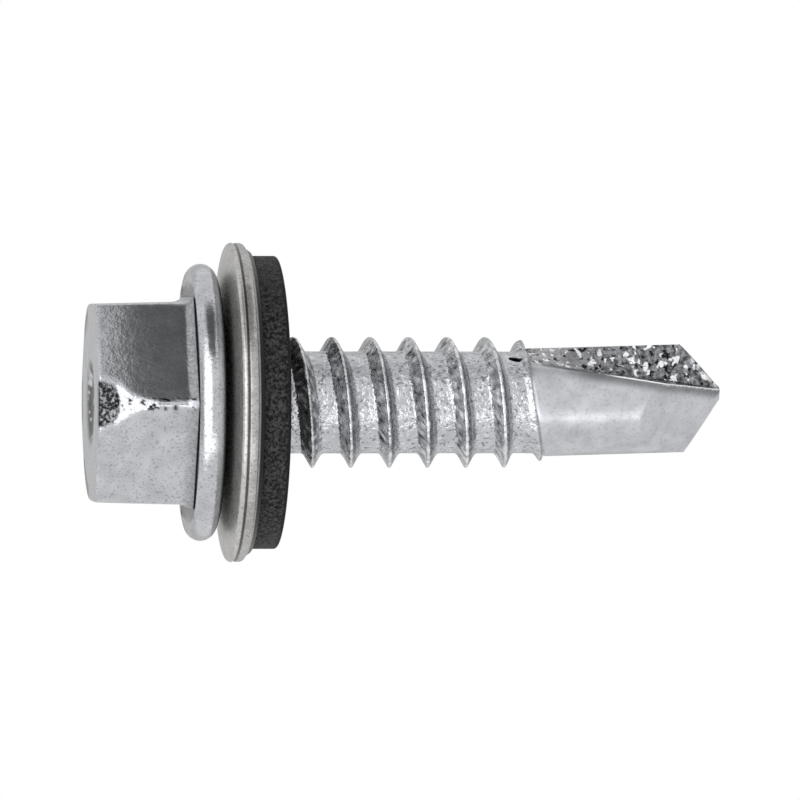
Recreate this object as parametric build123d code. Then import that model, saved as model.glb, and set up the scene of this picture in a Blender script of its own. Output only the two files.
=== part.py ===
from build123d import *
import os
from math import atan2, cos, degrees, radians, sin, tan

# Self drilling screw with a bonded sealing washer, in millimetres.
# The screw stands on its head: Z = 0 is the flat end of the head, and +Z runs along
# the axis to the drill point. One corner of the hexagon points along -Y.

# Hexagon head
hex_across_flats = 9.40            # at the flange, where the hexagon is widest
hex_height = 4.46                  # from the end of the head to the flange
hex_draft = 1.4                    # degrees, the hexagon narrows towards its end
hex_turn = 30.0                    # degrees about +Z, which brings a corner to -Y
hex_edge_radius = 0.15             # along the six edges
head_end_radius = 4.12             # flat part of the end face
head_rim_radius = 1.00             # round rim left by the heading punch
head_rim_angle = 45.0              # degrees that the rim turns through
unfilled_corner_angle = 13.2       # degrees from the axis, where the corners fall short

# Flange, with a full round rim
flange_diameter = 12.92
flange_thickness = 1.34
neck_height = 0.40                 # cone between the flange and the shank

# Shank and rolled thread
root_diameter = 4.77
thread_diameter = 6.12
thread_pitch = 1.812
thread_flank_angle = 30.0          # degrees, each side of the crest
thread_crest_width = 0.11
thread_start_height = 8.76         # where the ridge rises out of the shank
thread_start_angle = 33.0          # degrees about +Z from +X
thread_rise_turns = 0.30           # until the ridge has its full height
thread_full_turns = 5.70
thread_fade_turns = 2.20           # until it sinks into the drill's body
thread_root_depth = 0.12           # how far the ridge is rooted in the shank
thread_end_depth = 0.08            # how far its two ends are sunk below the shank's surface

# Drill point
drill_diameter = 5.08
drill_start_height = 20.85
drill_step_height = 0.25           # cone between shank and drill
drill_lean = 1.60                  # degrees, the forged point leans a little towards -X
point_height = 29.72               # overall, from the end of the head to the chisel edge
chisel_offset = 0.19               # the chisel edge lies off the drill's axis, towards -X
lip_advance = 0.19                 # the lip on that side starts this much further out
lip_angle = 57.5                   # degrees between a cutting lip and the axis
flank_fall_angle = 56.0            # degrees, how steeply a flank falls away behind its lip
flute_half_web = 0.20              # half the chisel edge, where the two flutes nearly meet
flute_run_out_height = 20.50       # where a flute's root comes out of the drill's side
flute_run_out_angle = 40.7         # degrees about +Z from the lip, where it does
flute_rake_at_point = -8.0         # degrees, direction of the rake wall
flute_rake_at_run_out = -28.0
flute_heel_angle = 94.0            # degrees, direction of the heel wall
flute_root_radius = 0.28
forging_radius = 2.58              # the dies press the thread's last turn down to this radius
forging_half_gap = 0.50            # but not between them, on the +X and -X sides
forging_start_height = 20.00       # on the -Y side, and half a pitch higher on the other

# Steel disc of the sealing washer
washer_play = 0.05                 # between the flange and the disc, at the bore
washer_diameter = 14.90
washer_bore_diameter = 6.50
washer_thickness = 1.04
washer_dish_angle = 7.4            # degrees, the disc is a shallow cone round the rubber
washer_roll_radius = 0.80          # edge rolled by the punch, on the flange's side
washer_roll_angle = 45.0           # degrees that it turns through
washer_bevel_width = 0.40          # edge on the rubber's side, across the rim
washer_bevel_height = 0.28         # and along the axis

# Rubber ring of the sealing washer
rubber_diameter = 13.68
rubber_height = 1.29               # its outer wall, from the disc to the sealing face
rubber_bevel = 0.08                # edge of the sealing face
rubber_shank_clearance = 0.06      # running clearance of the lip round the shank
rubber_mouth_clearance = 0.06      # round the thread, at the sealing face
rubber_mouth_depth = 0.55

tool_reach = 20.0                  # size of the cutting forms, larger than the drill

root_radius = root_diameter / 2
thread_radius = thread_diameter / 2
drill_radius = drill_diameter / 2
rubber_radius = rubber_diameter / 2
flange_underside = hex_height + flange_thickness
washer_top = flange_underside + washer_play
washer_slope = tan(radians(washer_dish_angle))
leaning = Pos(0, 0, drill_start_height) * Rot(0, -drill_lean, 0) * Pos(0, 0, -drill_start_height)


def turned(outline):
    """Turn a closed outline, drawn as radius and height, about the axis."""
    return revolve(make_face(Plane.XZ * outline), Axis.Z)


def hexagon_head():
    """Drafted hexagon inside the form of the heading punch."""
    foot = Plane((0, 0, hex_height), x_dir=(1, 0, 0), z_dir=(0, 0, -1))
    hexagon = Rot(0, 0, hex_turn) * RegularPolygon(hex_across_flats / 2, 6, major_radius=False)
    prism = extrude(foot * hexagon, amount=hex_height, taper=hex_draft)
    upright = prism.edges().filter_by(lambda edge: abs(edge.tangent_at(0.5).Z) > 0.9)
    return fillet(upright, hex_edge_radius) & punch_form()


def punch_form():
    """Flat end with a round rim, then a steep cone that leaves the corners unfilled."""
    rim = CenterArc((head_end_radius, head_rim_radius), head_rim_radius, -90, head_rim_angle)
    rim_end = rim @ 1
    foot_radius = rim_end.X + (hex_height - rim_end.Y) * tan(radians(unfilled_corner_angle))
    sides = Polyline(rim_end, (foot_radius, hex_height), (0, hex_height), (0, 0), rim @ 0)
    return turned(Curve() + [rim, sides])


def flange_and_shank():
    """Flange, neck and shank, turned as one."""
    rim_radius = flange_thickness / 2
    rim_centre = flange_diameter / 2 - rim_radius
    rim = CenterArc((rim_centre, hex_height + rim_radius), rim_radius, -90, 180)
    shank_end = drill_start_height + drill_step_height
    sides = Polyline(
        rim @ 1,
        (root_radius + neck_height, flange_underside),
        (root_radius, flange_underside + neck_height),
        (root_radius, shank_end),
        (0, shank_end),
        (0, hex_height),
        rim @ 0,
    )
    return turned(Curve() + [rim, sides])


def drill_blank():
    """Plain body of the drill, rooted in the shank by the height of its step."""
    foot = drill_start_height - drill_step_height
    foot_radius = 2 * root_radius - drill_radius
    outline = Polyline(
        (0, foot),
        (foot_radius, foot),
        (drill_radius, drill_start_height + drill_step_height),
        (drill_radius, point_height),
        (0, point_height),
        close=True,
    )
    return turned(outline)


def helix_edge(start, end, start_angle, turns):
    """Right-hand helix from one (radius, height) to another, on a cylinder or a cone."""
    rise = end[1] - start[1]
    cone = atan2(end[0] - start[0], rise)
    helix = Edge.make_helix(rise / turns / cos(cone), rise, start[0], angle=degrees(cone))
    return Pos(0, 0, start[1]) * Rot(0, 0, start_angle) * helix


def ridge_section(crest_radius, height):
    """Corners of the thread's section as (radius, height), from foot to foot."""
    foot_radius = root_radius - thread_root_depth
    half_crest = thread_crest_width / 2
    half_foot = half_crest + (crest_radius - foot_radius) * tan(radians(thread_flank_angle))
    return [
        (foot_radius, height - half_foot),
        (crest_radius, height - half_crest),
        (crest_radius, height + half_crest),
        (foot_radius, height + half_foot),
    ]


def thread_ridge():
    """The rolled thread: it rises from the shank, runs full, and fades on the drill."""
    sunk_radius = root_radius - thread_end_depth
    faces = []
    angle = thread_start_angle
    height = thread_start_height
    section = ridge_section(sunk_radius, height)
    faces.append(section_face(section, angle))
    stretches = [
        (thread_rise_turns, thread_radius),
        (thread_full_turns, thread_radius),
        (thread_fade_turns, sunk_radius),
    ]
    for turns, crest_radius in stretches:
        height += turns * thread_pitch
        next_section = ridge_section(crest_radius, height)
        helices = [helix_edge(*ends, angle, turns) for ends in zip(section, next_section)]
        for first, second in zip(helices, helices[1:] + helices[:1]):
            faces.append(Face.make_surface_from_curves(first, second))
        angle += turns * 360
        section = next_section
    faces.append(section_face(section, angle))
    return Solid(Shell(faces))


def section_face(section, angle):
    """The thread's section as a flat face at an angle about the axis."""
    corners = [Vector(radius, 0, height).rotate(Axis.Z, angle) for radius, height in section]
    return Face(Wire.make_polygon(corners, close=True))


def flute_section(corner, rake, height):
    """Outline that a flute takes out of the drill at one height."""
    along_rake = Vector(tool_reach, 0).rotate(Axis.Z, rake)
    along_heel = Vector(tool_reach, 0).rotate(Axis.Z, flute_heel_angle)
    outline = FilletPolyline(
        (0, 0), along_rake, along_rake + along_heel, along_heel,
        radius=[flute_root_radius, 0, 0, 0],
        close=True,
    )
    return Pos(corner.X, corner.Y, height) * make_face(outline)


def flute(shift):
    """Forged groove: deep at the point, wide and shallow where it runs out."""
    at_point = Vector(flute_half_web + shift, 0, point_height)
    at_run_out = Vector(drill_radius, 0, flute_run_out_height).rotate(Axis.Z, flute_run_out_angle)
    return loft(
        [
            flute_section(at_run_out, flute_rake_at_run_out, at_run_out.Z),
            flute_section(at_point, flute_rake_at_point, at_point.Z),
        ],
        ruled=True,
    )


def flank(shift):
    """Everything in front of one flank: it holds the lip and falls away behind it."""
    lip_fall = 1 / tan(radians(lip_angle))
    back_fall = tan(radians(flank_fall_angle))
    face = Plane((shift, 0, point_height), z_dir=(lip_fall, -back_fall, 1))
    align = (Align.CENTER, Align.CENTER, Align.MIN)
    return face * Box(tool_reach, tool_reach, tool_reach, align=align)


def pressed_side(start_height):
    """What a forging die presses away from the thread's last turn, on the +Y side."""
    reach = point_height - start_height
    side = Box(tool_reach, tool_reach, reach, align=(Align.CENTER, Align.MIN, Align.MIN))
    core = Cylinder(forging_radius, reach, align=(Align.CENTER, Align.CENTER, Align.MIN))
    return Pos(0, 0, start_height) * (Pos(0, forging_half_gap, 0) * side - core)


def screw():
    """Head, flange, threaded shank and drill point: one forged and rolled piece."""
    body = hexagon_head() + flange_and_shank() + leaning * drill_blank() + thread_ridge()
    body -= pressed_side(forging_start_height + thread_pitch / 2)
    body -= Rot(0, 0, 180) * pressed_side(forging_start_height)
    for turn, web_shift, lip_shift in ((0, -chisel_offset, 0), (180, chisel_offset, lip_advance)):
        body -= leaning * Rot(0, 0, turn) * flute(web_shift)
        body -= leaning * Rot(0, 0, turn) * flank(lip_shift)
    return body


def disc_underside(radius):
    """Height of the disc's face on the rubber's side at a radius."""
    upright_thickness = washer_thickness / cos(radians(washer_dish_angle))
    return washer_top + upright_thickness + (radius - washer_bore_diameter / 2) * washer_slope


def metal_washer():
    """Pressed disc, a shallow cone with its rolled edge on the flange's side."""
    rim = washer_diameter / 2
    bore = washer_bore_diameter / 2
    bevel = rim - washer_bevel_width
    dish = radians(washer_dish_angle)
    roll_centre = rim - washer_roll_radius * cos(radians(washer_roll_angle) - dish)
    roll_start = roll_centre + washer_roll_radius * sin(dish)
    roll_foot = washer_top + (roll_start - bore) * washer_slope
    centre = (roll_centre, roll_foot + washer_roll_radius * cos(dish))
    roll = CenterArc(centre, washer_roll_radius, washer_dish_angle - 90, washer_roll_angle)
    sides = Polyline(
        roll @ 1,
        (rim, disc_underside(bevel) - washer_bevel_height),
        (bevel, disc_underside(bevel)),
        (bore, disc_underside(bore)),
        (bore, washer_top),
        roll @ 0,
    )
    return turned(Curve() + [roll, sides])


def rubber_seal():
    """Ring bonded under the disc, with a lip round the shank and a mouth for the thread."""
    lip = root_radius + rubber_shank_clearance
    mouth = thread_radius + rubber_mouth_clearance
    sealing_height = disc_underside(rubber_radius) + rubber_height
    outline = Polyline(
        (lip, disc_underside(lip)),
        (rubber_radius, disc_underside(rubber_radius)),
        (rubber_radius, sealing_height - rubber_bevel),
        (rubber_radius - rubber_bevel, sealing_height),
        (mouth, sealing_height),
        (lip, sealing_height - rubber_mouth_depth),
        close=True,
    )
    return turned(outline)


os.makedirs("parts", exist_ok=True)
export_step(screw(), "parts/screw.step")
export_step(metal_washer(), "parts/metal_washer.step")
export_step(rubber_seal(), "parts/rubber_seal.step")
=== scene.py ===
import math

import bmesh
import bpy
import numpy as np
from mathutils import Matrix, Vector, noise

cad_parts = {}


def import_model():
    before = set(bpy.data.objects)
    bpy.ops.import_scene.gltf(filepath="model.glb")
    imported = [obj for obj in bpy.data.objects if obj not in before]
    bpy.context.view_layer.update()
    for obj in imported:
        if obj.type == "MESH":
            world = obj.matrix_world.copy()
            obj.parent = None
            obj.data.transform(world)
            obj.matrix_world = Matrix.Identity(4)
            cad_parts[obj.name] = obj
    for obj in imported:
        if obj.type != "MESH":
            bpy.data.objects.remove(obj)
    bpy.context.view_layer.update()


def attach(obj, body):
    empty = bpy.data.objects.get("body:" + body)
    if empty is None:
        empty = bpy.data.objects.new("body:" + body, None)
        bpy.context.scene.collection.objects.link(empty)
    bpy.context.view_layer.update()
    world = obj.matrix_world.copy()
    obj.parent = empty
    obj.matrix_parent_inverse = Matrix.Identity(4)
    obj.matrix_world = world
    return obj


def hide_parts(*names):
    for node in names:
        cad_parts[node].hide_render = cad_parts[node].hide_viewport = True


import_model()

# Self drilling screw with a bonded sealing washer. Sizes are in millimetres, as in the
# part's source, and become metres when a mesh is made. The screw stands on its head,
# +Z runs to the drill point, and one corner of the hexagon points along -Y.
MM = 0.001

# Hexagon head
HEX_APOTHEM = 4.70
HEX_HEIGHT = 4.46
HEX_DRAFT = math.radians(1.4)
HEX_EDGE_RADIUS = 0.15
SIDE_ANGLE = math.radians(60)           # what a side of the hexagon spans
RIM = 0.13                              # radius of the rounding at the head's end
END_FACE = 3.8
DISH_RADIUS, DISH_DEPTH = 2.3, 0.22

# Corners that the die left unfilled: the radius of a filled one, each corner's share of the
# shortfall, from the one along -Y onwards, and the shortfall at some heights
FORGED_CORNER = 5.37
UNFILLED = (1.0, 0.35, 1.25, 1.0, 0.95, 0.15)
SHORTFALL_HEIGHTS = (0.0, 0.13, 0.55, 0.95, 1.10, 1.35, 1.80, 2.30, 2.90)
SHORTFALL = (0.60, 0.585, 0.53, 0.45, 0.38, 0.28, 0.18, 0.10, 0.0)
CORNER_BLEND = 0.10

# Foot of the hexagon, flange and neck
FOOT = 4.56
FOOT_FLARE, FLARE_HEIGHT = 0.24, 0.55
VALLEY = ((0.01, 4.59), (0.04, 4.615), (0.10, 4.615), (0.18, 4.60), (0.24, 4.595))  # out, height
FLANGE_RADIUS = 6.46
FLANGE_THICKNESS = 1.34
FACE_RADIUS, FACE_DROP = 6.05, 0.015    # the flange's face beside the hexagon
BEARING = HEX_HEIGHT + FLANGE_THICKNESS
NECK = 0.40

# Shank and thread. Turns are counted from where the ridge starts to rise.
SHANK_LOW, SHANK_HIGH, SHANK_COLUMNS = 6.0, 21.3, 120
UNEVEN_SIZE, UNEVEN_DEPTH = 0.42, 0.009
ROOT = 2.385
CREST = 3.06
PITCH = 1.812
THREAD_START = 8.76
THREAD_START_ANGLE = 33.0
RISE_TURNS = 0.30
FULL_TURNS = 6.00
END_TURNS = 8.20
LAST_FADE = (6.95, 7.25)                # turns over which the rest of the ridge sinks in
SUNK = -0.08
CREST_HALF_WIDTH = 0.055
FLANK_SLOPE = math.tan(math.radians(30))
CREST_ROUND, ROOT_ROUND = 0.05, 0.20
LAST_TURN, LAST_TURN_SHIFT = (5.9, 6.35), -0.13

# How the forging dies press the last turn down: to which radius, from which height, and from
# how far off the middle plane and over what width, on -X and on +X. It leaves a lap on -X.
PRESSED, PRESSED_START = 2.49, 20.00
PRESSED_EDGES = ((0.05, 0.25), (0.70, 0.40))
LAP_TOWARD, LAP_RADIUS, LAP_HEIGHT = (-0.85, -0.53), 2.40, 19.80

# Drill point
DRILL = 2.54
DRILL_START = 20.85                     # the drill leans from here
DRILL_FULL = 20.93                      # mean height at which its body has its full size
RAMP_STEPS = (-0.55, -0.30, -0.26, -0.22, -0.18, -0.14, -0.10, -0.05, 0.0)  # below that height
DRILL_ROWS = 80
POINT = 29.72
LEAN = math.radians(1.60)
CHISEL_OFFSET = 0.19
FALL_ANGLE = math.radians(56.6)
HALF_WEB = 0.20
RUN_OUT_HEIGHT = 20.50
RUN_OUT_ANGLE = math.radians(40.7)
RAKE = (math.radians(-72.0), math.radians(-8.0))    # at the run-out, at the point
HEEL = math.radians(94.0)
HEEL_OFFSETS = (0.0, 0.012, 0.025, 0.040, 0.060, 0.09, 0.13, 0.19, 0.27, 0.36)
HEEL_ROUND, HEEL_DROP = 0.060, 0.022
HEEL_SAG_WIDTH, HEEL_SAG = 0.42, 0.030
FLUTE_ROOT_RADIUS = 0.28
FLUTE_ROUGH = ((0.60, 0.030), (0.26, 0.030))        # size and depth of its dents
RAKE_STEPS, HEEL_STEPS = 51, 29         # of the mesh along a flute's two walls

# The drill's two sides: turn in degrees, its sign, shift of the web, and the lip's start from
# the axis and its angle
SIDES = ((0, 1, -CHISEL_OFFSET, (0.10, math.radians(55.1))),
         (180, -1, CHISEL_OFFSET, (0.45, math.radians(48.9))))

# Washer
WASHER = 7.45
BORE = 3.25
WASHER_TOP = BEARING + 0.05
DISC_DISH = math.radians(7.4)
DISC_THICKNESS = 1.04
ROLL, ROLL_HEIGHT = 0.20, 6.568
CREASE_STEPS = ((0.008, 6.58), (0.030, 6.61), (0.040, 6.65), (0.030, 6.70), (0.015, 6.745))
CREASE = 6.65                           # its steps are how deep and at which height
DISC_RIM, DISC_RIM_FALL = 6.77, 0.22    # height where the rim starts, and how far it falls away
RUBBER = 6.84
RUBBER_HEIGHT = 1.29
RUBBER_EDGE = 0.10
MOUTH_DEPTH = 0.55
CLEARANCE = 0.06

# The screw's mesh has five regions, each with its own finish
REGIONS = 5
HEAD, THREAD, DRILL_BODY, FLUTE, FLANK = range(REGIONS)


def smooth_min(a, b, k):
    """The smaller of two, with a rounded change-over that is k wide."""
    h = np.clip(0.5 + 0.5 * (b - a) / k, 0, 1)
    return b + (a - b) * h - k * h * (1 - h)


def smooth_max(a, b, k):
    """The larger of two, with the same change-over."""
    return -smooth_min(-a, -b, k)


def smooth_step(low, high, x):
    """0 up to low, 1 from high on and smooth between; low may be the larger."""
    t = np.clip((x - low) / (high - low), 0, 1)
    return t * t * (3 - 2 * t)


def within(low, high, x):
    """Whether x is between two limits."""
    return (x > low) & (x < high)


def spaced(first, *runs):
    """Numbers from the first on, evenly spaced within each run (its end, its steps)."""
    out = [first]
    for end, steps in runs:
        out += list(np.linspace(out[-1], end, steps + 1)[1:])
    return np.array(out)


def arc(centre, radius, start, end, count):
    """Points (radius, height) along an arc, from one angle in degrees to another."""
    a = np.radians(np.linspace(start, end, count))
    return [(centre[0] + radius * math.cos(t), centre[1] + radius * math.sin(t)) for t in a]


def subdivided(points, step):
    """A polyline with extra points, so that none are further apart than step."""
    out = [points[0]]
    for p, q in zip(points, points[1:]):
        parts = max(1, math.ceil(math.dist(p, q) / step))
        out += [tuple(np.add(p, np.subtract(q, p) * k / parts)) for k in range(1, parts + 1)]
    return out


def fractal(x, y, z, size, seed):
    """Smooth noise of about -1 to 1 at each point, with features of that size in mm."""
    shift = Vector((seed * 7.31, seed * 3.17, seed * 5.93))
    return np.array([noise.fractal(Vector(p) / size + shift, 0.6, 2.0, 2) for p in zip(x, y, z)])


def mesh_object(name, points, faces):
    """A new object in the scene, from points in mm."""
    mesh = bpy.data.meshes.new(name)
    mesh.from_pydata((np.asarray(points) * MM).tolist(), [], faces)
    mesh.update()
    made = bpy.data.objects.new(name, mesh)
    bpy.context.scene.collection.objects.link(made)
    return made


def tube(name, rings):
    """Closed skin over rings of equally many points, with a fan at each end."""
    count = len(rings[0])
    points = [p for ring in rings for p in ring]
    faces = []
    for k in range(len(rings) - 1):
        for j in range(count):
            a, b = k * count + j, k * count + (j + 1) % count
            faces.append((a, b, b + count, a + count))
    for ring, first, turn in ((rings[0], 0, -1), (rings[-1], (len(rings) - 1) * count, 1)):
        centre = len(points)
        points.append(np.mean(ring, axis=0))
        for j in range(count):
            a, b = first + j, first + (j + 1) % count
            faces.append((a, b, centre) if turn > 0 else (b, a, centre))
    return mesh_object(name, points, faces)


def turned_profile(name, profile, steps):
    """A closed profile (radius, height) turned once about the axis."""
    count = len(profile)
    angles = np.linspace(0, 2 * math.pi, steps, endpoint=False)
    points = [(r * math.cos(t), r * math.sin(t), z) for t in angles for r, z in profile]
    faces = []
    for j in range(steps):
        for k in range(count):
            a, b = j * count, ((j + 1) % steps) * count
            faces.append((a + k, b + k, b + (k + 1) % count, a + (k + 1) % count))
    return mesh_object(name, points, faces)


def tidy(obj, sharp=35.0):
    """Outward normals, smooth shading, and sharp edges above an angle in degrees."""
    bm = bmesh.new()
    bm.from_mesh(obj.data)
    bmesh.ops.remove_doubles(bm, verts=bm.verts, dist=1e-8)
    bmesh.ops.recalc_face_normals(bm, faces=bm.faces)
    bm.to_mesh(obj.data)
    bm.free()
    obj.data.shade_smooth()
    obj.data.set_sharp_from_angle(angle=math.radians(sharp))


def combine(base, other, operation):
    """Boolean of two closed meshes; the other is tidied first and used up."""
    tidy(other)
    cut = base.modifiers.new("cut", "BOOLEAN")
    cut.operation = operation
    cut.solver = "MANIFOLD"
    cut.object = other
    graph = bpy.context.evaluated_depsgraph_get()
    mesh = bpy.data.meshes.new_from_object(base.evaluated_get(graph))
    base.modifiers.clear()
    old = base.data
    base.data = mesh
    bpy.data.meshes.remove(old)
    bpy.data.objects.remove(other)


def set_region(obj, region):
    """Give a mesh the material places of the screw, and all its faces one of them."""
    while len(obj.data.materials) < REGIONS:
        obj.data.materials.append(None)
    obj.data.polygons.foreach_set("material_index", [region] * len(obj.data.polygons))


def paint(obj, name, rule):
    """A number for each point of a mesh, from its place (x, y, z) and radius in mm."""
    points = np.empty(len(obj.data.vertices) * 3)
    obj.data.vertices.foreach_get("co", points)
    x, y, z = (points.reshape(-1, 3) / MM).T
    values = np.clip(rule(x, y, z, np.hypot(x, y)), 0, 1)
    obj.data.attributes.new(name, "FLOAT", "POINT").data.foreach_set("value", values)


# ---------------------------------------------------------------- head

def head_angles():
    """Angles round the head, close together at the six corners of the hexagon."""
    side = spaced(0, (26, 13), (29, 5), (31, 8), (34, 5), (60, 13))[:-1]
    return np.radians(np.concatenate([side + 60 * k for k in range(6)]))


def corner_number(angle):
    """The nearest corner of the hexagon, counted from the one along -Y."""
    return np.round((np.degrees(angle) + 90) / 60).astype(int) % 6


def from_corner(angle):
    """Angle from the nearest corner of the hexagon."""
    return (angle + math.pi / 2 + SIDE_ANGLE / 2) % SIDE_ANGLE - SIDE_ANGLE / 2


def hexagon_radius(angle, height):
    """Radius of the drafted hexagon with its rounded edges."""
    half = SIDE_ANGLE / 2
    apothem = HEX_APOTHEM - (HEX_HEIGHT - height) * math.tan(HEX_DRAFT)
    from_flat = np.abs((angle + half) % SIDE_ANGLE - half)
    flat = apothem / np.cos(from_flat)
    centre = (apothem - HEX_EDGE_RADIUS) / math.cos(half)
    off = half - from_flat
    inside = np.maximum(HEX_EDGE_RADIUS ** 2 - (centre * np.sin(off)) ** 2, 0)
    rounded = centre * np.cos(off) + np.sqrt(inside)
    tangent = np.arctan((apothem - HEX_EDGE_RADIUS) * math.tan(half) / apothem)
    return np.where(from_flat > tangent, rounded, flat)


def forged_radius(angle, height):
    """Radius to which the blank has filled the die near a corner of the hexagon."""
    short = np.interp(height, SHORTFALL_HEIGHTS, SHORTFALL)
    return FORGED_CORNER - np.array(UNFILLED)[corner_number(angle)] * short


def side_radius(angle, height):
    """Radius of the hexagon as it is, with its unfilled corners."""
    return smooth_min(hexagon_radius(angle, height), forged_radius(angle, height), CORNER_BLEND)


def head():
    """Hexagon, flange and neck in one skin. The end has a shallow dish in it."""
    angles = head_angles()
    c, s = np.cos(angles), np.sin(angles)

    def ring(radius, height):
        return np.stack([radius * c, radius * s, np.full_like(c, height)], 1)

    rings = []
    for r in np.linspace(0.2, END_FACE, 25):
        rings.append(ring(r, DISH_DEPTH * (1 - smooth_step(0.5, 1.0, r / DISH_RADIUS))))
    rounding = RIM * (1 - np.cos(np.radians(np.linspace(0, 90, 6))))
    above = spaced(RIM, (3.0, 37), (FOOT - 0.6, 6), (FOOT, 12))[1:]
    for z in np.concatenate([rounding, above]):
        inset = RIM - math.sqrt(max(0.0, RIM ** 2 - max(0.0, RIM - z) ** 2))
        flare = FOOT_FLARE * max(0.0, (z - FOOT + FLARE_HEIGHT) / FLARE_HEIGHT) ** 2
        radius = side_radius(angles, max(z, RIM))
        if z == 0:
            rings.append(ring((radius - inset + END_FACE) / 2, z))
        rings.append(ring(radius - inset + flare, z))
    foot = radius + flare
    for out, height in VALLEY:
        rings.append(ring(foot + out, height))
    for share in (0.33, 0.67, 1.0):
        rings.append(ring(foot + out + (FACE_RADIUS - foot - out) * share, height - FACE_DROP * share))
    rim_radius = FLANGE_THICKNESS / 2
    turned = arc((FLANGE_RADIUS - rim_radius, HEX_HEIGHT + rim_radius), rim_radius, -62, 90, 27)
    turned += [(4.3, BEARING), (ROOT + NECK, BEARING), (ROOT, BEARING + NECK), (ROOT, BEARING + 1.0)]
    rings += [ring(r, z) for r, z in turned]
    return tube("screw", rings)


# ---------------------------------------------------------------- shank and thread

def ridge_height(turn, offset):
    """Height of the thread's ridge over the shank, at a turn and an offset along the axis."""
    risen = SUNK + (CREST - ROOT - SUNK) * np.clip(turn / RISE_TURNS, 0, 1)
    fade = np.clip((turn - FULL_TURNS) / (END_TURNS - FULL_TURNS), 0, 1)
    fade = fade + (1 - fade) * smooth_step(*LAST_FADE, turn)
    crest = risen + (SUNK - risen) * fade
    flank = (CREST_HALF_WIDTH + crest * FLANK_SLOPE - np.abs(offset)) / FLANK_SLOPE
    height = smooth_min(flank, crest, CREST_ROUND)
    height = smooth_max(height, np.zeros_like(height), ROOT_ROUND)
    return np.where((turn < -0.05) | (turn > END_TURNS), 0.0, height)


def last_turn_shift(height):
    """The last turn lies a little nearer to the head: how far, at its height before that."""
    return LAST_TURN_SHIFT * smooth_step(*LAST_TURN, (height - THREAD_START) / PITCH)


def pressed(radius, angle, height):
    """The forging dies press the last turn down, on the -Y side and higher up on the +Y side."""
    start = PRESSED_START if math.sin(angle) < 0 else PRESSED_START + PITCH / 2
    reach = np.abs(radius * math.sin(angle))
    gap, width = PRESSED_EDGES[0 if math.cos(angle) < 0 else 1]
    share = smooth_step(gap, gap + width, reach) * smooth_step(start - 0.05, start + 0.15, height)
    return radius + (np.minimum(radius, PRESSED) - radius) * share


def shank():
    """Threaded shank: a grid whose rows follow the helix, clamped between two heights."""
    offsets = spaced(-PITCH / 2, (-0.56, 4), (-0.40, 5), (-0.10, 3), (0.10, 8), (0.40, 3),
                     (0.56, 5), (PITCH / 2, 4))[:-1]
    per_turn = len(offsets)
    first = math.floor((SHANK_LOW - THREAD_START) / PITCH) - 1
    last = math.ceil((SHANK_HIGH - THREAD_START) / PITCH) + 2
    whole = np.repeat(np.arange(first, last), per_turn)
    v = np.tile(offsets, last - first)
    rows = len(v)
    degrees = np.linspace(0, 360, SHANK_COLUMNS, endpoint=False)
    ends = (("low", SHANK_LOW), ("high", SHANK_HIGH))
    points, index = [], {}
    for j, angle in enumerate(degrees):
        a = math.radians(angle)
        for end, z in ends:
            index[end, j] = len(points)
            points.append((ROOT * math.cos(a), ROOT * math.sin(a), z))
    for j, angle in enumerate(degrees):
        a = math.radians(angle)
        c, s = math.cos(a), math.sin(a)
        turns = whole + (angle - THREAD_START_ANGLE) / 360
        even = THREAD_START + PITCH * turns + v
        z = even + last_turn_shift(even)
        uneven = fractal(np.full_like(z, ROOT * c), np.full_like(z, ROOT * s), z, UNEVEN_SIZE, 5)
        r = pressed(ROOT + ridge_height(turns, v), a, z) + UNEVEN_DEPTH * uneven
        for row in range(rows):
            if z[row] <= SHANK_LOW:
                index[row, j] = index["low", j]
            elif z[row] >= SHANK_HIGH:
                index[row, j] = index["high", j]
            else:
                index[row, j] = len(points)
                points.append((r[row] * c, r[row] * s, z[row]))

    def place(row, j):
        """A point of the grid. Past the last column, the first one's rows are a turn further on."""
        if j == SHANK_COLUMNS:
            row, j = row + per_turn, 0
        return index[row if row < rows else "high", j]

    faces = []
    for j in range(SHANK_COLUMNS):
        for row in range(rows - 1):
            corners = (place(row, j), place(row, j + 1), place(row + 1, j + 1), place(row + 1, j))
            unique = tuple(dict.fromkeys(corners))
            if len(unique) > 2:
                faces.append(unique)
    for end, z in ends:
        centre = len(points)
        points.append((0, 0, z))
        for j in range(SHANK_COLUMNS):
            a, b = index[end, j], index[end, (j + 1) % SHANK_COLUMNS]
            faces.append((b, a, centre) if end == "low" else (a, b, centre))
    return mesh_object("shank", points, faces)


def lap():
    """A narrow fold where the last turn was pressed against the shank, beside the flute."""
    out_x, out_y = LAP_TOWARD
    along = Vector((-0.28 * out_x, 0.28 * out_y, 0.60)).normalized()
    side = along.cross(Vector((out_x, out_y, 0))).normalized()
    out = side.cross(along)
    centre = Vector((out_x * LAP_RADIUS, out_y * LAP_RADIUS, LAP_HEIGHT))
    half_length, half_depth, half_width = 0.34, 0.32, 0.17
    rings = []
    for t in np.linspace(-1, 1, 17)[1:-1]:
        size = math.sqrt(1 - t * t)
        rings.append([tuple(centre + along * half_length * t + out * half_depth * size * math.cos(a)
                            + side * half_width * size * math.sin(a))
                      for a in np.linspace(0, 2 * math.pi, 24, endpoint=False)])
    return tube("lap", rings)


def thread_offset(x, y, z):
    """Distance along the axis from the nearest crest of the thread, and its turn."""
    even = z
    for _ in range(4):
        even = z - last_turn_shift(even)
    part = ((np.degrees(np.arctan2(y, x)) - THREAD_START_ANGLE) / 360) % 1
    at = np.round((even - THREAD_START) / PITCH - part) + part
    return even - THREAD_START - PITCH * at, at


# ---------------------------------------------------------------- drill point

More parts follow.
